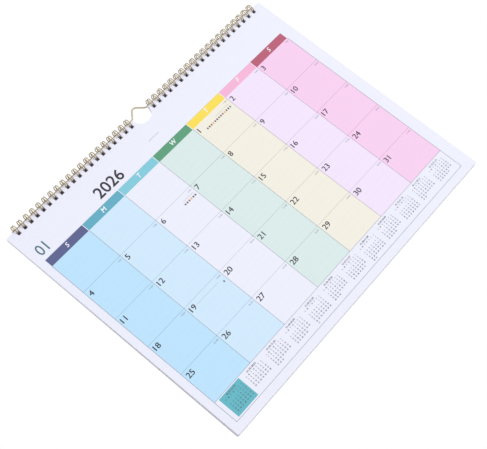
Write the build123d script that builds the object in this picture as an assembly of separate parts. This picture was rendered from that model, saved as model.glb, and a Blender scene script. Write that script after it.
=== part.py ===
"""Twin-loop wall calendar, hung on a nail.

Millimetres. +Z is up, +X is the reader's right, and the printed side faces -Y.
The origin is where the nail bears, on the underside of the hanger's bump.
Heights named in the sections below are measured from the rings' common axis,
and every piece is moved down to its place under the origin when it is written.
"""

from build123d import *
from math import ceil, cos, floor, hypot, radians, sin, tan
import os

# Sheets
sheet_width = 381.0
sheet_height = 292.1
corner_radius = 1.5
leaf_count = 12
leaf_thickness = 0.2
cover_thickness = 0.6
cover_gap = 0.2

# Punching, three holes to the inch
hole_pitch = 25.4 / 3
hole_size = 4.0
edge_strip = 2.5
side_margin = 12.0
middle_web = 2.0

# Twin-loop combs
comb_wire = 0.95
comb_wire_sides = 5
twin_spacing = 2.1
ring_clearance = 0.45
seam_angle = 15.0
seam_gap = 0.3
root_bend = 0.9
chords_per_loop = 8

# Hanger
hanger_wire = 1.5
hanger_wire_sides = 8
hanger_clearance = 0.25
arm_overhang = 2.0
bump_height = 8.3
bump_slope = 46.0
crown_radius = 4.5
foot_radius = 3.5
notch_clearance = 0.6

# Heights and depths about the rings' axis
block_thickness = leaf_count * leaf_thickness
stack_half = (block_thickness + cover_gap + cover_thickness) / 2
sheet_top = -(hanger_wire / 2 + hanger_clearance)
hole_top = sheet_top - edge_strip
nail_seat = bump_height - hanger_wire / 2

# The bump's outline: a crown arc, two straight flanks and two foot arcs
slope = radians(bump_slope)
bends_height = (crown_radius + foot_radius) * (1 - cos(slope))
flank_run = (bump_height - bends_height) / tan(slope)
crown_run = crown_radius * sin(slope)
bump_half_width = crown_run + flank_run + foot_radius * sin(slope)
crown_drop = crown_radius * (1 - cos(slope))

# The notch lets the bump swing through the sheets, and the punching keeps clear of the notch
notch_radius = bump_half_width + notch_clearance
inner_hole = ceil((notch_radius + middle_web + hole_size / 2) / hole_pitch)
outer_hole = floor((sheet_width / 2 - side_margin) / hole_pitch)
hole_places = [index * hole_pitch for index in range(inner_hole, outer_hole + 1)]

# The rings clear the strip of the whole stack that turns inside them
ring_inner = hypot(stack_half, hole_top) + ring_clearance
ring_radius = ring_inner + comb_wire / 2


def sheet(front, thickness):
    """A punched and notched sheet, or a block of them, whose front face is at Y = front."""
    middle = sheet_top - sheet_height / 2
    outline = Pos(0, middle) * RectangleRounded(sheet_width, sheet_height, corner_radius)
    outline -= Pos(0, sheet_top) * Circle(notch_radius)
    hole_middle = hole_top - hole_size / 2
    holes = [Pos(side * place, hole_middle) for side in (-1, 1) for place in hole_places]
    outline -= holes * Rectangle(hole_size, hole_size)
    face_plane = Plane(origin=(0, front, 0), x_dir=(1, 0, 0), z_dir=(0, -1, 0))
    return extrude(face_plane * outline, amount=-thickness)


def page_block():
    """All month leaves, which turn together as a block."""
    return sheet(-stack_half, block_thickness)


def back_cover():
    """The card behind the leaves."""
    return sheet(-stack_half + block_thickness + cover_gap, cover_thickness)


def on_ring(x, travel):
    """The point that lies travel millimetres along the rings from the seam, down the back first."""
    angle = radians(seam_angle) - travel / ring_radius
    return Vector(x, ring_radius * cos(angle), ring_radius * sin(angle))


def loop_points(middle):
    """One twin loop: up one wire from its root at the seam, over the rounded tip, and back."""
    half = twin_spacing / 2
    once_round = radians(360) * ring_radius
    tip_end = once_round - comb_wire - seam_gap
    tip_start = tip_end - half
    chord = (tip_start - root_bend) / chords_per_loop
    rise = [root_bend + chord * index for index in range(chords_per_loop + 1)]
    points = [on_ring(middle - half - root_bend, 0)]
    points += [on_ring(middle - half, travel) for travel in rise]
    tip_flat = half * tan(radians(22.5))
    points += [on_ring(middle - tip_flat, tip_end), on_ring(middle + tip_flat, tip_end)]
    points += [on_ring(middle + half, travel) for travel in reversed(rise)]
    points.append(on_ring(middle + half + root_bend, 0))
    return points


def wire_comb(side):
    """One comb: a single wire bent into fingers in the flat, then closed into rings."""
    middles = sorted(side * place for place in hole_places)
    points = [point for middle in middles for point in loop_points(middle)]
    path = Polyline(*points)
    section = RegularPolygon(comb_wire / 2, comb_wire_sides)
    start = Plane(origin=path @ 0, z_dir=path % 0)
    return sweep(start * section, path=path, transition=Transition.RIGHT)


def hanger():
    """One wire: an arm through every loop on each side, and the bump for the nail between."""
    arm_end = hole_places[-1] + twin_spacing / 2 + comb_wire / 2 + arm_overhang
    foot = Vector(bump_half_width, 0, 0)
    foot_top = Vector(crown_run + flank_run, 0, foot_radius * (1 - cos(slope)))
    shoulder = Vector(crown_run, 0, bump_height - crown_drop)
    crown = Vector(0, 0, bump_height)
    foot_middle = Vector(
        bump_half_width - foot_radius * sin(slope / 2), 0, foot_radius * (1 - cos(slope / 2))
    )

    def left(point):
        return Vector(-point.X, point.Y, point.Z)

    path = Wire([
        Line((-arm_end, 0, 0), left(foot)),
        ThreePointArc(left(foot), left(foot_middle), left(foot_top)),
        Line(left(foot_top), left(shoulder)),
        ThreePointArc(left(shoulder), crown, shoulder),
        Line(shoulder, foot_top),
        ThreePointArc(foot_top, foot_middle, foot),
        Line(foot, (arm_end, 0, 0)),
    ])
    start = Plane(origin=path @ 0, z_dir=path % 0)
    turn = 180 / hanger_wire_sides
    section = RegularPolygon(hanger_wire / 2, hanger_wire_sides, major_radius=False, rotation=turn)
    return sweep(start * section, path=path)


pieces = {
    "hanger": hanger(),
    "left_wire_comb": wire_comb(-1),
    "right_wire_comb": wire_comb(1),
    "page_block": page_block(),
    "back_cover": back_cover(),
}

os.makedirs("parts", exist_ok=True)
for name, piece in pieces.items():
    export_step(Pos(0, 0, -nail_seat) * piece, f"parts/{name}.step")

print("rings' axis below the nail seat:", round(nail_seat, 3))
print("ring radius to the wire's middle:", round(ring_radius, 3))
print("notch radius:", round(notch_radius, 3), "bump half width:", round(bump_half_width, 3))
print("loops in each comb:", len(hole_places), "innermost", round(hole_places[0], 3))
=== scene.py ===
"""A wall calendar on a gold twin-loop binding, as it hangs from a nail."""

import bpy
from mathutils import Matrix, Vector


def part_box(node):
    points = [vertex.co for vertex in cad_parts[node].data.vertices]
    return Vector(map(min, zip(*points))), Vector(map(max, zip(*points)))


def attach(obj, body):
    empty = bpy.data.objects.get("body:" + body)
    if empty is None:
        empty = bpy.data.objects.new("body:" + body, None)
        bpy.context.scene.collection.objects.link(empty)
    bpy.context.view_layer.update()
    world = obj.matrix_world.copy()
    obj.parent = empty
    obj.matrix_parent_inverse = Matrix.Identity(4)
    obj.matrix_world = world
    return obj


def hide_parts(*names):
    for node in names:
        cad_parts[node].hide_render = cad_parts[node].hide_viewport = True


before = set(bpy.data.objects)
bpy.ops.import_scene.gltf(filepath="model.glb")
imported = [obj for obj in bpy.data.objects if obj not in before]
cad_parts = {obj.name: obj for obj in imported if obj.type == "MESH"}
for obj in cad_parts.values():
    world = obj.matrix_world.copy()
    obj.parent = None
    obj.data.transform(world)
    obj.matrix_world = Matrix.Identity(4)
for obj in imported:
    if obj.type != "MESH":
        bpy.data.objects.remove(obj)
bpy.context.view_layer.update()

import calendar
from math import cos, pi, radians, sin

import bpy
from mathutils import Quaternion, Vector

mm = 0.001
scene = bpy.context.scene
scene.view_settings.view_transform = "Standard"


# Camera
# The photograph looks up at the calendar from below its left edge, and the camera is rolled to its right.
photo_width = 487
focal_pixels = 1176.5
sensor_width = 36.0
camera_place = Vector((-0.4648, -1.0398, -0.4262))
aim_point = Vector((-0.0251, -0.0016, -0.1682))
camera_roll = radians(-51.66)


def turned_to_aim(place):
    """The turn that points a camera or a lamp from its place at the calendar."""
    return (aim_point - place).to_track_quat("-Z", "Y")


camera_data = bpy.data.cameras.new("camera")
camera_data.sensor_width = sensor_width
camera_data.lens = focal_pixels * sensor_width / photo_width
camera = bpy.data.objects.new("camera", camera_data)
camera.location = camera_place
camera.rotation_mode = "QUATERNION"
camera.rotation_quaternion = turned_to_aim(camera_place) @ Quaternion((0, 0, 1), camera_roll)
scene.collection.objects.link(camera)
scene.camera = camera


# Studio
# A pale floor lies well below the hanging sheets, under two broad soft lamps and an even white surround.
# Where it is seen directly, the floor glows near white and keeps only a share of its own shading.
surround_level = 0.72
lamp_size = 3.0
key_power = 108
key_place = Vector((3.2, -5.0, 0.6))
rear_power = 100
rear_place = Vector((2.2, 4.6, 2.4))
floor_height = -0.78
floor_reach = 4.0
floor_dull = 0.90
floor_pale = 0.93
floor_mottle = 3.0
floor_glow = 0.78
floor_shading_kept = 0.35


def add_node(tree, kind, inputs=(), **settings):
    """A node in a tree, its sockets set to values or fed from other nodes' outputs."""
    made = tree.nodes.new(kind)
    for name, value in settings.items():
        setattr(made, name, value)
    for socket, value in dict(inputs).items():
        if isinstance(value, bpy.types.NodeSocket):
            tree.links.new(value, made.inputs[socket])
        else:
            made.inputs[socket].default_value = value
    return made


def arithmetic(tree, operation, first, second=0.0):
    """One step of arithmetic in a node tree."""
    return add_node(tree, "ShaderNodeMath", {0: first, 1: second}, operation=operation).outputs[0]


def spread(tree, value, low, high, start=0.0, end=1.0):
    """Carries a value that runs from start to end over to the range from low to high."""
    ends = {"From Min": start, "From Max": end, "To Min": low, "To Max": high}
    return add_node(tree, "ShaderNodeMapRange", {"Value": value, **ends}).outputs[0]


def emptied_tree(owner):
    """The node tree of a new material or world, with nothing in it yet."""
    owner.use_nodes = True
    owner.node_tree.nodes.clear()
    return owner.node_tree


def seen_directly(tree):
    """Is 1 for camera, mirror and glass rays, and 0 for those that light the pieces."""
    rays = add_node(tree, "ShaderNodeLightPath").outputs
    camera_or_mirror = arithmetic(tree, "MAXIMUM", rays["Is Camera Ray"], rays["Is Glossy Ray"])
    return arithmetic(tree, "MAXIMUM", camera_or_mirror, rays["Is Transmission Ray"])


def mesh_piece(name, points, faces, material):
    """An object in the scene from points and faces, with one material."""
    mesh = bpy.data.meshes.new(name)
    mesh.from_pydata(points, [], faces)
    mesh.materials.append(material)
    made = bpy.data.objects.new(name, mesh)
    scene.collection.objects.link(made)
    return made


surround = bpy.data.worlds.new("surround")
surround_tree = emptied_tree(surround)
surround_strength = spread(surround_tree, seen_directly(surround_tree), surround_level, 1.0)
surround_light = add_node(surround_tree, "ShaderNodeBackground",
                          {"Color": (1, 1, 1, 1), "Strength": surround_strength})
add_node(surround_tree, "ShaderNodeOutputWorld", {"Surface": surround_light.outputs[0]})
scene.world = surround

for name, power, place in (("key_lamp", key_power, key_place), ("rear_lamp", rear_power, rear_place)):
    lamp_data = bpy.data.lights.new(name, "AREA")
    lamp_data.energy = power
    lamp_data.size = lamp_size
    lamp = bpy.data.objects.new(name, lamp_data)
    lamp.location = place
    lamp.rotation_mode = "QUATERNION"
    lamp.rotation_quaternion = turned_to_aim(place)
    scene.collection.objects.link(lamp)

floor_material = bpy.data.materials.new("studio_floor")
floor_tree = emptied_tree(floor_material)
floor_speckle = add_node(floor_tree, "ShaderNodeTexNoise", {"Scale": floor_mottle})
floor_colour = add_node(floor_tree, "ShaderNodeMix", {"Factor": floor_speckle.outputs["Fac"]},
                        data_type="RGBA")
floor_colour.inputs["A"].default_value = (floor_dull, floor_dull, floor_dull, 1)
floor_colour.inputs["B"].default_value = (floor_pale, floor_pale, floor_pale, 1)
floor_seen = seen_directly(floor_tree)
floor_kept = spread(floor_tree, floor_seen, 1.0, floor_shading_kept)
floor_shade = add_node(floor_tree, "ShaderNodeVectorMath",
                       {0: floor_colour.outputs["Result"], "Scale": floor_kept}, operation="SCALE")
floor_matt = add_node(floor_tree, "ShaderNodeBsdfDiffuse", {"Color": floor_shade.outputs[0]})
floor_light = add_node(floor_tree, "ShaderNodeEmission",
                       {"Strength": arithmetic(floor_tree, "MULTIPLY", floor_seen, floor_glow)})
floor_both = add_node(floor_tree, "ShaderNodeAddShader",
                      {0: floor_matt.outputs[0], 1: floor_light.outputs[0]})
add_node(floor_tree, "ShaderNodeOutputMaterial", {"Surface": floor_both.outputs[0]})

square = ((-1, -1), (1, -1), (1, 1), (-1, 1))
floor_corners = [(x * floor_reach, y * floor_reach, floor_height) for x, y in square]
floor = mesh_piece("floor", floor_corners, [(0, 1, 2, 3)], floor_material)


# Gold wire
# Steel wire with a thin gold coating, drawn through a die, so its tone clouds a little along its length
# and a fine scuffing keeps its gloss soft.
gold_light = (0.45, 0.365, 0.225)
gold_deep = (0.32, 0.253, 0.15)
gold_metallic = 0.9
gold_cloud_scale = 900.0
gold_scuff_scale = 2600.0
gold_smoothest = 0.24
gold_roughest = 0.40
gold_scuff_strength = 0.12
gold_scuff_depth = 0.04 * mm

gold_wire = bpy.data.materials.new("gold_coated_wire")
gold_tree = emptied_tree(gold_wire)
gold_place = add_node(gold_tree, "ShaderNodeTexCoord").outputs["Object"]
gold_cloud = add_node(gold_tree, "ShaderNodeTexNoise",
                      {"Vector": gold_place, "Scale": gold_cloud_scale, "Detail": 3.0})
gold_tone = add_node(gold_tree, "ShaderNodeMix", {"Factor": gold_cloud.outputs["Fac"]}, data_type="RGBA")
gold_tone.inputs["A"].default_value = (*gold_deep, 1)
gold_tone.inputs["B"].default_value = (*gold_light, 1)
gold_scuff = add_node(gold_tree, "ShaderNodeTexNoise",
                      {"Vector": gold_place, "Scale": gold_scuff_scale, "Detail": 2.0}).outputs["Fac"]
gold_grain = add_node(gold_tree, "ShaderNodeBump",
                      {"Height": gold_scuff, "Strength": gold_scuff_strength, "Distance": gold_scuff_depth})
gold_finish = add_node(gold_tree, "ShaderNodeBsdfPrincipled", {
    "Base Color": gold_tone.outputs["Result"],
    "Metallic": gold_metallic,
    "Roughness": spread(gold_tree, gold_scuff, gold_smoothest, gold_roughest),
    "Normal": gold_grain.outputs[0],
})
add_node(gold_tree, "ShaderNodeOutputMaterial", {"Surface": gold_finish.outputs[0]})


# Hanger
# One length of gold wire: an arm through every loop on each side, with a bell-shaped bump for the nail.
# It is bent cold, so each corner of its run is a smooth bend, and its ends are cut square.
hanger_wire = 1.5 * mm
hanger_sides = 20
bump_slope = radians(46)
crown_bend = 4.5 * mm
foot_bend = 3.5 * mm
bend_steps = 14
cut_end_angle = radians(50)

hanger_low, hanger_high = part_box("hanger")
axis_height = hanger_low.z + hanger_wire / 2
crown_height = hanger_high.z - hanger_wire / 2
apex_height = crown_height + crown_bend * (1 / cos(bump_slope) - 1)
foot_corner = (apex_height - axis_height) * cos(bump_slope) / sin(bump_slope)


def wire_run(name, points):
    """A run of straight stretches. Each point is (x, y, z, radius of its bend)."""
    run = bpy.data.curves.new(name, "CURVE")
    run.dimensions = "3D"
    spline = run.splines.new("POLY")
    spline.points.add(len(points) - 1)
    for spot, (x, y, z, bend) in zip(spline.points, points):
        spot.co = (x, y, z, 1)
        spot.radius = bend
    made = bpy.data.objects.new(name, run)
    scene.collection.objects.link(made)
    return made


def new_tree(name, inputs):
    """A node tree that takes and gives geometry, with named inputs of a kind and a starting value."""
    tree = bpy.data.node_groups.new(name, "GeometryNodeTree")
    tree.interface.new_socket("Geometry", in_out="INPUT", socket_type="NodeSocketGeometry")
    for label, (kind, value) in inputs.items():
        socket = tree.interface.new_socket(label, in_out="INPUT", socket_type=f"NodeSocket{kind}")
        if value is not None:
            socket.default_value = value
    tree.interface.new_socket("Geometry", in_out="OUTPUT", socket_type="NodeSocketGeometry")
    return tree, tree.nodes.new("NodeGroupInput").outputs


def finished(worked, tree, values, name):
    """Runs a tree on an object and gives the result as a plain mesh object of that name."""
    modifier = worked.modifiers.new(tree.name, "NODES")
    modifier.node_group = tree
    for socket in tree.interface.items_tree:
        if socket.in_out == "INPUT" and socket.name in values:
            modifier[socket.identifier] = values[socket.name]
    graph = bpy.context.evaluated_depsgraph_get()
    mesh = bpy.data.meshes.new_from_object(worked.evaluated_get(graph), depsgraph=graph)
    bpy.data.objects.remove(worked)
    mesh.name = name
    piece = bpy.data.objects.new(name, mesh)
    scene.collection.objects.link(piece)
    return piece


def rounded_bends(tree, run, steps):
    """A run whose corners are arcs, each of the radius that its point carries."""
    own_bend = add_node(tree, "GeometryNodeInputRadius").outputs[0]
    return add_node(tree, "GeometryNodeFilletCurve",
                    {"Curve": run, "Radius": own_bend, "Count": steps}, mode="POLY").outputs[0]


def wire_skin(tree, run, thickness, sides, material):
    """Gives a run of curve its round section, closed ends and finish, and sends it out of the tree."""
    even = add_node(tree, "GeometryNodeSetCurveRadius", {"Curve": run, "Radius": 1.0})
    ring = add_node(tree, "GeometryNodeCurvePrimitiveCircle",
                    {"Resolution": sides, "Radius": arithmetic(tree, "MULTIPLY", thickness, 0.5)})
    skin = add_node(tree, "GeometryNodeCurveToMesh",
                    {"Curve": even.outputs[0], "Profile Curve": ring.outputs[0], "Fill Caps": True})
    whole = add_node(tree, "GeometryNodeRealizeInstances", {"Geometry": skin.outputs[0]})
    coated = add_node(tree, "GeometryNodeSetMaterial", {"Geometry": whole.outputs[0], "Material": material})
    add_node(tree, "NodeGroupOutput", {"Geometry": coated.outputs[0]})


def smooth_wire(wire):
    """Shades a wire as round along its length, with a crisp edge where it is cut."""
    wire.data.shade_smooth()
    wire.data.set_sharp_from_angle(angle=cut_end_angle)


bent_wire, bent_inputs = new_tree("bent_wire", {
    "Wire": ("Float", hanger_wire),
    "Finish": ("Material", None),
})
bent_run = rounded_bends(bent_wire, bent_inputs["Geometry"], bend_steps)
wire_skin(bent_wire, bent_run, bent_inputs["Wire"], hanger_sides, bent_inputs["Finish"])

hanger_run = wire_run("hanger_run", [
    (hanger_low.x, 0, axis_height, 0),
    (-foot_corner, 0, axis_height, foot_bend),
    (0, 0, apex_height, crown_bend),
    (foot_corner, 0, axis_height, foot_bend),
    (hanger_high.x, 0, axis_height, 0),
])
hanger = finished(hanger_run, bent_wire, {"Wire": hanger_wire, "Finish": gold_wire}, "gold_hanger")
smooth_wire(hanger)
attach(hanger, "hanger")
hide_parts("hanger")


# Twin-loop combs
# Each comb is one wire, bent in the flat into twenty pairs of fingers and then closed into rings.
# The rounded tips meet the wire's own bridges at a seam on the back, just above the sheets' edge.
comb_wire = 0.95 * mm
comb_sides = 12
hole_pitch = 25.4 / 3 * mm
first_hole = 2
loops_a_side = 20
twin_spacing = 2.1 * mm
ring_radius = 4.773 * mm
seam_angle = radians(15)
seam_gap = 0.3 * mm
root_bend = 0.9 * mm
tip_steps = 5
finger_step = 0.6 * mm
weld_gap = 0.01 * mm
finger_length = 2 * pi * ring_radius - comb_wire - seam_gap
finger_lean = 0.15 * mm

closed_comb, comb_inputs = new_tree("closed_comb", {
    "Wire": ("Float", comb_wire),
    "Pitch": ("Float", hole_pitch),
    "Loops": ("Int", loops_a_side),
    "First loop": ("Float", 0.0),
    "Ring radius": ("Float", ring_radius),
    "Seam angle": ("Float", seam_angle),
    "Axis height": ("Float", axis_height),
    "Finger length": ("Float", finger_length),
    "Lean": ("Float", finger_lean),
    "Stub": ("Float", 0.0),
    "Seed": ("Int", 4),
    "Finish": ("Material", None),
})


def point_at(tree, **places):
    """A point or a shift from its X, Y and Z, where one that isn't given is 0."""
    return add_node(tree, "ShaderNodeCombineXYZ", places).outputs[0]


# A row of fingers in the flat, each of which leans a little to one side
fingers = rounded_bends(closed_comb, comb_inputs["Geometry"], tip_steps)
divided = add_node(closed_comb, "GeometryNodeResampleCurve",
                   {"Curve": fingers, "Length": finger_step}, mode="LENGTH")
row = add_node(closed_comb, "GeometryNodeMeshLine", {
    "Count": comb_inputs["Loops"],
    "Start Location": point_at(closed_comb, X=comb_inputs["First loop"]),
    "Offset": point_at(closed_comb, X=comb_inputs["Pitch"]),
})
leaning = add_node(closed_comb, "FunctionNodeRandomValue",
                   {2: -1.0, 3: 1.0, "Seed": comb_inputs["Seed"]}, data_type="FLOAT")
marked = add_node(closed_comb, "GeometryNodeStoreNamedAttribute",
                  {"Geometry": row.outputs[0], "Name": "lean", "Value": leaning.outputs[1]},
                  data_type="FLOAT", domain="POINT")
repeated = add_node(closed_comb, "GeometryNodeInstanceOnPoints",
                    {"Points": marked.outputs[0], "Instance": divided.outputs[0]})
laid = add_node(closed_comb, "GeometryNodeRealizeInstances", {"Geometry": repeated.outputs[0]})

# The row closed into rings round the axis
place = add_node(closed_comb, "GeometryNodeInputPosition")
flat = add_node(closed_comb, "ShaderNodeSeparateXYZ", {0: place.outputs[0]})
own_lean = add_node(closed_comb, "GeometryNodeInputNamedAttribute", {"Name": "lean"}, data_type="FLOAT")
up_finger = arithmetic(closed_comb, "DIVIDE", flat.outputs["Y"], comb_inputs["Finger length"])
most_aside = arithmetic(closed_comb, "MULTIPLY", own_lean.outputs[0], comb_inputs["Lean"])
aside = arithmetic(closed_comb, "MULTIPLY", most_aside, up_finger)
way_round = arithmetic(closed_comb, "DIVIDE", flat.outputs["Y"], comb_inputs["Ring radius"])
turned = arithmetic(closed_comb, "SUBTRACT", comb_inputs["Seam angle"], way_round)
back, rise = (arithmetic(closed_comb, "MULTIPLY", arithmetic(closed_comb, share, turned),
                         comb_inputs["Ring radius"]) for share in ("COSINE", "SINE"))
on_ring = point_at(closed_comb, X=arithmetic(closed_comb, "ADD", flat.outputs["X"], aside), Y=back,
                   Z=arithmetic(closed_comb, "ADD", rise, comb_inputs["Axis height"]))
rolled = add_node(closed_comb, "GeometryNodeSetPosition",
                  {"Geometry": laid.outputs[0], "Position": on_ring})

# The loops joined into one wire, with its two ends cut short
strung = add_node(closed_comb, "GeometryNodeCurveToMesh", {"Curve": rolled.outputs[0]})
joined = add_node(closed_comb, "GeometryNodeMergeByDistance",
                  {"Geometry": strung.outputs[0], "Distance": weld_gap})
one_wire = add_node(closed_comb, "GeometryNodeMeshToCurve", {"Mesh": joined.outputs[0]})
whole_length = add_node(closed_comb, "GeometryNodeCurveLength", {"Curve": one_wire.outputs[0]})
cut_end = arithmetic(closed_comb, "SUBTRACT", whole_length.outputs[0], comb_inputs["Stub"])
trimmed = add_node(closed_comb, "GeometryNodeTrimCurve",
                   {"Curve": one_wire.outputs[0], 4: comb_inputs["Stub"], 5: cut_end}, mode="LENGTH")
wire_skin(closed_comb, trimmed.outputs[0], comb_inputs["Wire"], comb_sides, comb_inputs["Finish"])

innermost = first_hole * hole_pitch
outermost = innermost + (loops_a_side - 1) * hole_pitch
half_pitch = hole_pitch / 2
half_twin = twin_spacing / 2
for side, first_middle, seed in (("left", -outermost, 4), ("right", innermost, 9)):
    finger_run = wire_run(f"{side}_finger", [
        (-half_pitch, 0, 0, 0),
        (-half_twin, 0, 0, root_bend),
        (-half_twin, finger_length, 0, half_twin),
        (half_twin, finger_length, 0, half_twin),
        (half_twin, 0, 0, root_bend),
        (half_pitch, 0, 0, 0),
    ])
    comb = finished(finger_run, closed_comb, {
        "First loop": first_middle,
        "Stub": half_pitch - half_twin - root_bend,
        "Seed": seed,
        "Finish": gold_wire,
    }, f"{side}_gold_comb")
    smooth_wire(comb)
    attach(comb, "binding")
    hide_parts(f"{side}_wire_comb")


# Month leaves
# Twelve leaves of smooth white paper, cut and punched together in one stroke. They lie close at the
# rings and open a little towards the foot, each a touch out of line with the next.
leaf_count = 12
corner_radius = 1.5 * mm
corner_steps = 5
notch_radius = 12.011 * mm
notch_steps = 36
hole_size = 4.0 * mm
edge_strip = 2.5 * mm
leaf_fan = radians(0.045)
leaf_shift = 0.10 * mm
sheet_weld = 0.001 * mm
paper_colour = (239, 240, 254)
cloud_scale = 60.0
fibre_scale = 1400.0
fibre_depth = 0.02 * mm
fleck_start = 0.62
fleck_full = 0.75

page_low, page_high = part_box("page_block")
sheet_top = page_high.z
sheet_bottom = page_low.z
half_width = page_high.x
hole_height = sheet_top - edge_strip - hole_size / 2
leaf_thickness = (page_high.y - page_low.y) / leaf_count


def linear(colour):
    """An sRGB colour of 0 to 255 a channel as the linear values that a shader takes."""
    shares = [channel / 255 for channel in colour]
    return tuple(s / 12.92 if s <= 0.04045 else ((s + 0.055) / 1.055) ** 2.4 for s in shares)


def arc(middle_x, middle_z, radius, start, end, steps):
    """Points along an arc, its angles in degrees."""
    angles = [radians(start + (end - start) * step / steps) for step in range(steps + 1)]
    return [(middle_x + radius * cos(a), middle_z + radius * sin(a)) for a in angles]


def sheet_outline(name):
    """The cut edge of a sheet, flat in X and Y, with the notch for the hanger's bump."""
    inner = half_width - corner_radius
    upper = sheet_top - corner_radius
    lower = sheet_bottom + corner_radius
    points = arc(-inner, upper, corner_radius, 90, 180, corner_steps)
    points += arc(-inner, lower, corner_radius, 180, 270, corner_steps)
    points += arc(inner, lower, corner_radius, 270, 360, corner_steps)
    points += arc(inner, upper, corner_radius, 0, 90, corner_steps)
    points += arc(0, sheet_top, notch_radius, 360, 180, notch_steps)
    outline = wire_run(name, [(x, z, 0, 0) for x, z in points])
    outline.data.splines[0].use_cyclic_u = True
    return outline


punched_sheets, sheet_inputs = new_tree("punched_sheets", {
    "Sheets": ("Int", leaf_count),
    "Thickness": ("Float", leaf_thickness),
    "Front": ("Float", 0.0),
    "Hole": ("Float", hole_size),
    "Pitch": ("Float", hole_pitch),
    "Holes a side": ("Int", loops_a_side),
    "First hole": ("Float", innermost),
    "Hole height": ("Float", hole_height),
    "Lean": ("Float", 0.0),
    "Fan": ("Float", 0.0),
    "Shift": ("Float", 0.0),
    "Seed": ("Int", 3),
    "Finish": ("Material", None),
})

# One sheet, its edge and its two rows of holes filled and given their thickness
punch = add_node(punched_sheets, "GeometryNodeCurvePrimitiveQuadrilateral",
                 {"Width": sheet_inputs["Hole"], "Height": sheet_inputs["Hole"]})
cut_edges = add_node(punched_sheets, "GeometryNodeJoinGeometry")
punched_sheets.links.new(sheet_inputs["Geometry"], cut_edges.inputs[0])
for way in (-1.0, 1.0):
    first_out = arithmetic(punched_sheets, "MULTIPLY", sheet_inputs["First hole"], way)
    next_out = arithmetic(punched_sheets, "MULTIPLY", sheet_inputs["Pitch"], way)
    line = add_node(punched_sheets, "GeometryNodeMeshLine", {
        "Count": sheet_inputs["Holes a side"],
        "Start Location": point_at(punched_sheets, X=first_out, Y=sheet_inputs["Hole height"]),
        "Offset": point_at(punched_sheets, X=next_out),
    })
    holes = add_node(punched_sheets, "GeometryNodeInstanceOnPoints",
                     {"Points": line.outputs[0], "Instance": punch.outputs[0]})
    loose = add_node(punched_sheets, "GeometryNodeRealizeInstances", {"Geometry": holes.outputs[0]})
    punched_sheets.links.new(loose.outputs[0], cut_edges.inputs[0])
face = add_node(punched_sheets, "GeometryNodeFillCurve", {"Curve": cut_edges.outputs[0]})
walls = add_node(punched_sheets, "GeometryNodeExtrudeMesh",
                 {"Mesh": face.outputs[0], "Offset Scale": sheet_inputs["Thickness"], "Individual": False})
rear = add_node(punched_sheets, "GeometryNodeFlipFaces", {"Mesh": face.outputs[0]})
both = add_node(punched_sheets, "GeometryNodeJoinGeometry")
punched_sheets.links.new(walls.outputs[0], both.inputs[0])
punched_sheets.links.new(rear.outputs[0], both.inputs[0])
sheet_solid = add_node(punched_sheets, "GeometryNodeMergeByDistance",
                       {"Geometry": both.outputs[0], "Distance": sheet_weld})

# The stack grows forwards from its rear sheet, which leans back the most, and turns upright at the end
stack = add_node(punched_sheets, "GeometryNodeMeshLine", {
    "Count": sheet_inputs["Sheets"],
    "Offset": point_at(punched_sheets, Z=sheet_inputs["Thickness"]),
})
number = add_node(punched_sheets, "GeometryNodeInputIndex")
last_number = arithmetic(punched_sheets, "SUBTRACT", sheet_inputs["Sheets"], 1.0)
sheets_in_front = arithmetic(punched_sheets, "SUBTRACT", last_number, number.outputs[0])
own_fan = arithmetic(punched_sheets, "MULTIPLY", sheet_inputs["Fan"], sheets_in_front)
own_lean = arithmetic(punched_sheets, "ADD", sheet_inputs["Lean"], own_fan)
moved = add_node(punched_sheets, "FunctionNodeRandomValue",
                 {0: (-1, -1, 0), 1: (1, 0, 0), "Seed": sheet_inputs["Seed"]}, data_type="FLOAT_VECTOR")
shifted = add_node(punched_sheets, "ShaderNodeVectorMath",
                   {0: moved.outputs[0], "Scale": sheet_inputs["Shift"]}, operation="SCALE")
uneven = add_node(punched_sheets, "GeometryNodeSetPosition",
                  {"Geometry": stack.outputs[0], "Offset": shifted.outputs[0]})
sheets = add_node(punched_sheets, "GeometryNodeInstanceOnPoints", {
    "Points": uneven.outputs[0],
    "Instance": sheet_solid.outputs[0],
    "Rotation": point_at(punched_sheets, X=own_lean),
})
loose = add_node(punched_sheets, "GeometryNodeRealizeInstances", {"Geometry": sheets.outputs[0]})
upright = add_node(punched_sheets, "GeometryNodeTransform",
                   {"Geometry": loose.outputs[0], "Rotation": (radians(90), 0, 0)})
whole_depth = arithmetic(punched_sheets, "MULTIPLY", sheet_inputs["Thickness"], sheet_inputs["Sheets"])
rear_plane = arithmetic(punched_sheets, "ADD", sheet_inputs["Front"], whole_depth)
seated = add_node(punched_sheets, "GeometryNodeSetPosition",
                  {"Geometry": upright.outputs[0], "Offset": point_at(punched_sheets, Y=rear_plane)})
printed = add_node(punched_sheets, "GeometryNodeSetMaterial",
                   {"Geometry": seated.outputs[0], "Material": sheet_inputs["Finish"]})
add_node(punched_sheets, "NodeGroupOutput", {"Geometry": printed.outputs[0]})


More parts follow.
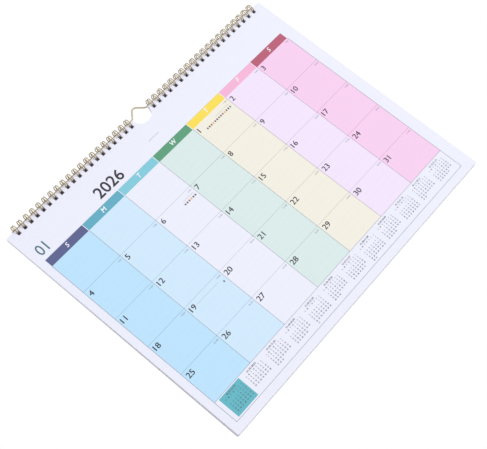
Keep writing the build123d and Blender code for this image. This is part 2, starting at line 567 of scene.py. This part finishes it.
def sheet_stock(name, colour, mottle, fleck, roughness, tooth):
    """Paper or board: a faint cloudy formation, darker specks of fibre, and a fine tooth."""
    made = bpy.data.materials.new(name)
    tree = emptied_tree(made)
    where = add_node(tree, "ShaderNodeTexCoord").outputs["Object"]
    cloud = add_node(tree, "ShaderNodeTexNoise", {"Vector": where, "Scale": cloud_scale, "Detail": 4.0})
    fibre = add_node(tree, "ShaderNodeTexNoise", {"Vector": where, "Scale": fibre_scale, "Detail": 3.0})
    specks = spread(tree, fibre.outputs["Fac"], 0.0, fleck, fleck_start, fleck_full)
    shade = spread(tree, cloud.outputs["Fac"], 1 - mottle, 1.0)
    tone = arithmetic(tree, "SUBTRACT", shade, specks)
    base = add_node(tree, "ShaderNodeVectorMath", {0: linear(colour), "Scale": tone}, operation="SCALE")
    grain = add_node(tree, "ShaderNodeBump",
                     {"Height": fibre.outputs["Fac"], "Strength": tooth, "Distance": fibre_depth})
    finish = add_node(tree, "ShaderNodeBsdfPrincipled", {
        "Base Color": base.outputs[0],
        "Roughness": roughness,
        "Normal": grain.outputs[0],
        "Specular IOR Level": 0.25,
    })
    add_node(tree, "ShaderNodeOutputMaterial", {"Surface": finish.outputs[0]})
    return made


leaf_paper = sheet_stock("leaf_paper", paper_colour, mottle=0.015, fleck=0.02, roughness=0.62, tooth=0.15)
leaves = finished(sheet_outline("leaf_outline"), punched_sheets, {
    "Front": page_low.y,
    "Fan": leaf_fan,
    "Shift": leaf_shift,
    "Finish": leaf_paper,
}, "month_leaves")
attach(leaves, "pages")
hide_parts("page_block")


# Back cover
# A single sheet of grey pulp board behind the leaves, cut and punched like them but three times as thick.
# Its foot leans back a little against the wall.
board_colour = (194, 192, 187)
cover_lean = radians(0.66)
cover_low, cover_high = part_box("back_cover")

grey_board = sheet_stock("grey_board", board_colour, mottle=0.06, fleck=0.14, roughness=0.85, tooth=0.5)
cover = finished(sheet_outline("cover_outline"), punched_sheets, {
    "Sheets": 1,
    "Thickness": cover_high.y - cover_low.y,
    "Front": cover_low.y,
    "Lean": cover_lean,
    "Finish": grey_board,
}, "grey_back_cover")
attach(cover, "cover")
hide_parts("back_cover")


# Shade behind the holes
# The wall stands close behind the punched strip and is in deep shade there. This backdrop has a patch
# behind each hole, which shows only where the stack covers it from the light.
shade_colour = (58, 52, 66)
shade_gap = 0.3 * mm
shade_edge = 0.25 * mm
shade_reach = 60 * mm
shade_samples = 16
shade_clear_above = 0.40
shade_full_below = 0.30

shade = bpy.data.materials.new("deep_shade")
shade_tree = emptied_tree(shade)
shade_open = add_node(shade_tree, "ShaderNodeAmbientOcclusion", {"Distance": shade_reach},
                      samples=shade_samples)
shade_deep = spread(shade_tree, shade_open.outputs["AO"], 0.0, 1.0, shade_clear_above, shade_full_below)
shade_clear = add_node(shade_tree, "ShaderNodeBsdfTransparent")
shade_dark = add_node(shade_tree, "ShaderNodeEmission", {"Color": (*linear(shade_colour), 1)})
shade_mix = add_node(shade_tree, "ShaderNodeMixShader",
                     {0: shade_deep, 1: shade_clear.outputs[0], 2: shade_dark.outputs[0]})
add_node(shade_tree, "ShaderNodeOutputMaterial", {"Surface": shade_mix.outputs[0]})

shade_half = hole_size / 2 + shade_edge
shade_plane = cover_high.y + shade_gap
shade_middles = [side * (innermost + index * hole_pitch) for side in (-1, 1) for index in range(loops_a_side)]
shade_corners = [(middle + x * shade_half, shade_plane, hole_height + z * shade_half)
                 for middle in shade_middles for x, z in square]
shade_faces = [range(first, first + 4) for first in range(0, len(shade_corners), 4)]
hole_shade = mesh_piece("hole_shade", shade_corners, shade_faces, shade)


# Printing
# Offset ink on the front leaf: a heading, a coloured bar and a tinted column for each weekday, ruled
# cells with plain numerals, and a strip of twelve small months in a frame along the foot.
ink_depth = 0.012 * mm
year = 2026
month = 1
days_a_year = 365
weekday_initials = "SMTWTFS"

grid_left = -181.9 * mm
column_pitch = 51.18 * mm
grid_right = grid_left + 7 * column_pitch
column_lefts = [grid_left + column * column_pitch for column in range(7)]
first_row = 47.4 * mm
row_pitch = 40.83 * mm
row_count = 5
grid_foot = first_row + row_count * row_pitch
frame_foot = 278.5 * mm
bar_top = 38.5 * mm
bar_foot = 47.85 * mm

slate_ink = (84, 118, 132)
black_ink = (52, 50, 60)
line_ink = (146, 150, 160)
small_ink = (92, 92, 102)
white_ink = (247, 249, 252)
box_ink = (99, 184, 199)
bar_inks = [(90, 97, 142), (97, 173, 197), (130, 203, 220), (90, 158, 121),
            (251, 223, 84), (246, 181, 216), (185, 91, 116)]
column_inks = [(190, 228, 254), (210, 234, 254), (238, 239, 253), (218, 235, 234),
               (242, 238, 226), (242, 228, 252), (247, 207, 240)]

ink_thinnest = 0.975
ink_fullest = 1.015
ink = bpy.data.materials.new("printing_ink")
ink_tree = emptied_tree(ink)
ink_place = add_node(ink_tree, "ShaderNodeTexCoord").outputs["Object"]
ink_grain = add_node(ink_tree, "ShaderNodeTexNoise",
                     {"Vector": ink_place, "Scale": fibre_scale, "Detail": 3.0}).outputs["Fac"]
ink_own = add_node(ink_tree, "ShaderNodeAttribute", attribute_name="ink").outputs["Color"]
ink_laid = spread(ink_tree, ink_grain, ink_thinnest, ink_fullest)
ink_shade = add_node(ink_tree, "ShaderNodeVectorMath", {0: ink_own, "Scale": ink_laid}, operation="SCALE")
ink_tooth = add_node(ink_tree, "ShaderNodeBump",
                     {"Height": ink_grain, "Strength": 0.15, "Distance": fibre_depth})
ink_finish = add_node(ink_tree, "ShaderNodeBsdfPrincipled", {
    "Base Color": ink_shade.outputs[0],
    "Roughness": 0.55,
    "Normal": ink_tooth.outputs[0],
    "Specular IOR Level": 0.3,
})
add_node(ink_tree, "ShaderNodeOutputMaterial", {"Surface": ink_finish.outputs[0]})


class Impression:
    """What one plate prints: flat faces that lie a hair in front of the leaf, each in its ink.

    Places are given as x, and as the depth below the line through the middle of the holes."""

    def __init__(self, layer):
        self.points, self.faces, self.inks = [], [], []
        self.front = page_low.y - layer * ink_depth

    def shape(self, points, faces, colour, strike=0):
        """Faces on points given as (x, depth). A later strike lies over an earlier one."""
        first = len(self.points)
        front = self.front - strike * ink_depth / 2
        self.points += [(x, front, hole_height - depth) for x, depth in points]
        self.faces += [[first + corner for corner in corners] for corners in faces]
        self.inks += [colour] * len(faces)

    def field(self, left, right, top, foot, colour):
        """A rectangle of flat ink."""
        self.shape([(left, foot), (right, foot), (right, top), (left, top)], [(0, 1, 2, 3)], colour)

    def across(self, left, right, depth, width, colour):
        """A ruled line across the leaf."""
        self.field(left, right, depth - width / 2, depth + width / 2, colour)

    def down(self, x, top, foot, width, colour):
        """A ruled line down the leaf."""
        self.field(x - width / 2, x + width / 2, top, foot, colour)

    def piece(self, name):
        """Puts the finished print on the leaves as an object of that name."""
        made = mesh_piece(name, self.points, self.faces, ink)
        colours = made.data.attributes.new("ink", "FLOAT_COLOR", "CORNER")
        for face, colour in zip(made.data.polygons, self.inks):
            for corner in face.loop_indices:
                colours.data[corner].color = (*linear(colour), 1)
        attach(made, "pages")


# Tints and bars
bar_gap = 0.7 * mm
bar_edge = 0.35 * mm
edge_grey = (140, 160, 165)
box_left = -177.2 * mm
box_width = 28.1 * mm
box_top = 252.7 * mm
box_foot = 276.8 * mm

tints = Impression(1)
for left, bar_ink, column_ink in zip(column_lefts, bar_inks, column_inks):
    edge_ink = [0.6 * own + 0.4 * grey for own, grey in zip(bar_ink, edge_grey)]
    bar_right = left + column_pitch - bar_gap
    tints.field(left, left + column_pitch, bar_foot, grid_foot, column_ink)
    tints.field(left, bar_right, bar_top, bar_top + bar_edge, edge_ink)
    tints.field(left, bar_right, bar_top + bar_edge, bar_foot, bar_ink)
tints.field(box_left, box_left + box_width, box_top, box_foot, box_ink)
tints.piece("printed_tints")

# Ruled lines
writing_share = 0.967
writing_inset = 0.8 * mm
writing_width = 0.18 * mm
row_darker = 64
row_width = 0.28 * mm
column_width = 0.42 * mm
grid_foot_width = 0.36 * mm
frame_left_width = 0.48 * mm
frame_right_width = 0.5 * mm

writing_lines = Impression(2)
for left, column_ink in zip(column_lefts, column_inks):
    right = left + column_pitch
    faint = [channel * writing_share for channel in column_ink]
    for row in range(row_count):
        for sixth in (2, 3, 4, 5):
            depth = first_row + (row + sixth / 6) * row_pitch
            writing_lines.across(left + writing_inset, right - writing_inset, depth, writing_width, faint)
writing_lines.piece("printed_writing_lines")

ruling = Impression(3)
for left, column_ink in zip(column_lefts, column_inks):
    row_ink = [channel - row_darker for channel in column_ink]
    for row in range(1, row_count):
        ruling.across(left, left + column_pitch, first_row + row * row_pitch, row_width, row_ink)
for left in column_lefts[1:]:
    ruling.down(left, bar_foot, grid_foot, column_width, line_ink)
ruling.across(grid_left, grid_right, grid_foot, grid_foot_width, line_ink)
ruling.across(grid_left, grid_right, frame_foot, column_width, line_ink)
ruling.down(grid_left, bar_foot, frame_foot, frame_left_width, line_ink)
ruling.down(grid_right, bar_foot, frame_foot, frame_right_width, line_ink)
ruling.piece("printed_ruling")

# Numerals
lettering_done = {}


def lettering(text, weight):
    """Text as flat faces of height 1, standing on y = 0, with its left edge at x = 0."""
    if (text, weight) not in lettering_done:
        curve = bpy.data.curves.new("lettering", "FONT")
        curve.body = text
        curve.offset = weight
        curve.resolution_u = 4
        holder = bpy.data.objects.new("lettering", curve)
        scene.collection.objects.link(holder)
        graph = bpy.context.evaluated_depsgraph_get()
        mesh = bpy.data.meshes.new_from_object(holder.evaluated_get(graph), depsgraph=graph)
        left = min(v.co.x for v in mesh.vertices)
        foot = min(v.co.y for v in mesh.vertices)
        tall = max(v.co.y for v in mesh.vertices) - foot
        points = [((v.co.x - left) / tall, (v.co.y - foot) / tall) for v in mesh.vertices]
        faces = [tuple(face.vertices) for face in mesh.polygons]
        lettering_done[text, weight] = (points, faces, max(x for x, y in points))
        bpy.data.objects.remove(holder)
        bpy.data.meshes.remove(mesh)
        bpy.data.curves.remove(curve)
    return lettering_done[text, weight]


def letter(plate, text, x, foot, height, colour, weight=0.0, narrow=0.9, align=0.0, slant=0.0, gain=0.0):
    """Prints text whose feet stand at a depth. align is the share of its width left of x.

    With a gain it is struck twice, that far apart, which thickens its strokes."""
    points, faces, wide = lettering(text, weight)
    start = x - align * wide * narrow * height
    for strike, shift in enumerate((-gain / 2, gain / 2) if gain else (0.0,)):
        placed = [(start + shift + (px * narrow + slant * py) * height, foot - shift / 2 - py * height)
                  for px, py in points]
        plate.shape(placed, faces, colour, strike)


heading_foot = 33.6 * mm
month_left = -181.0 * mm
month_height = 12.0 * mm
year_left = -98.6 * mm
year_height = 13.0 * mm
heading_rule_ends = (-18.0 * mm, -3.0 * mm)
heading_rule_depth = 24.0 * mm
heading_rule_width = 0.5 * mm
heading_rule_ink = (176, 176, 190)
initial_foot = 45.3 * mm
initial_height = 5.0 * mm
initial_gain = 0.3 * mm

heading = Impression(2)
letter(heading, f"{month:02d}", month_left, heading_foot, month_height, slate_ink, weight=0.006)
letter(heading, f"{year}", year_left, heading_foot, year_height, black_ink, weight=0.014, narrow=1.04)
heading.across(*heading_rule_ends, heading_rule_depth, heading_rule_width, heading_rule_ink)
for column, initial in enumerate(weekday_initials):
    middle = grid_left + (column + 0.5) * column_pitch
    letter(heading, initial, middle, initial_foot, initial_height, white_ink,
           narrow=0.95, align=0.5, slant=0.18, gain=initial_gain)
heading.piece("printed_heading")

day_inset = 2.4 * mm
day_drop = 9.0 * mm
day_height = 5.9 * mm
day_gain = 0.32 * mm
count_inset = 2.0 * mm
count_drop = 3.9 * mm
count_height = 1.5 * mm
days = Impression(4)
small_print = Impression(4)
sunday_first = calendar.Calendar(firstweekday=6)
for row, week in enumerate(sunday_first.monthdayscalendar(year, month)):
    top = first_row + row * row_pitch
    for left, day in zip(column_lefts, week):
        if day:
            letter(days, str(day), left + day_inset, top + day_drop, day_height, black_ink,
                   narrow=1.08, gain=day_gain)
            count_right = left + column_pitch - count_inset
            letter(small_print, f"{day}-{days_a_year - day}", count_right, top + count_drop, count_height,
                   line_ink, weight=0.015, narrow=1.0, align=1.0)
days.piece("printed_numerals")

# Marked days
# A row of small coloured chips stands under a thin rule on the first day, and fewer on two other days.
chip_pitch = 2.95 * mm
chip_width = 1.7 * mm
chip_half = 1.0 * mm
chip_rule_width = 0.4 * mm
chip_rule_ink = (196, 196, 196)
chip_inks = [(120, 112, 116), (110, 84, 80), (150, 104, 76), (238, 170, 96), (96, 84, 84), (84, 74, 76)]

marks = Impression(4)
for chips, chip_left, chip_middle, rule_left, rule_right, rule_depth in (
        (13, 33.0 * mm, 58.2 * mm, 50.0 * mm, 71.0 * mm, 54.6 * mm),
        (6, -47.6 * mm, 98.5 * mm, -46.0 * mm, -31.0 * mm, 95.0 * mm),
        (1, -84.7 * mm, 180.0 * mm, -119.0 * mm, -88.5 * mm, 176.4 * mm)):
    marks.across(rule_left, rule_right, rule_depth, chip_rule_width, chip_rule_ink)
    for index in range(chips):
        left = chip_left + index * chip_pitch
        marks.field(left, left + chip_width, chip_middle - chip_half, chip_middle + chip_half,
                    chip_inks[index % len(chip_inks)])
marks.piece("printed_chips")

# Small months
month_inset = 3.8 * mm
month_pitch = 29.2 * mm
day_pitch = 3.5 * mm
week_pitch = 2.95 * mm
span_drop = 3.1 * mm
span_height = 1.9 * mm
small_initial_drop = 5.9 * mm
small_initial_height = 1.4 * mm
first_week_drop = 8.6 * mm
small_day_height = 1.5 * mm

for index in range(12):
    left = box_left + month_inset + index * month_pitch
    day_middles = [left + (column + 0.2) * day_pitch for column in range(7)]
    last_day = calendar.monthrange(year, index + 1)[1]
    span = f"01.{index + 1:02d}-{last_day}.{index + 1:02d}"
    letter(small_print, span, left + 3.1 * day_pitch, box_top + span_drop, span_height, small_ink,
           weight=0.02, narrow=1.05, align=0.5)
    for middle, initial in zip(day_middles, weekday_initials):
        letter(small_print, initial, middle, box_top + small_initial_drop, small_initial_height, small_ink,
               weight=0.02, align=0.5)
    for row, week in enumerate(sunday_first.monthdayscalendar(year, index + 1)):
        foot = box_top + first_week_drop + row * week_pitch
        for middle, day in zip(day_middles, week):
            if day:
                letter(small_print, str(day), middle, foot, small_day_height, small_ink,
                       weight=0.03, align=0.5)
small_print.piece("printed_small_months")
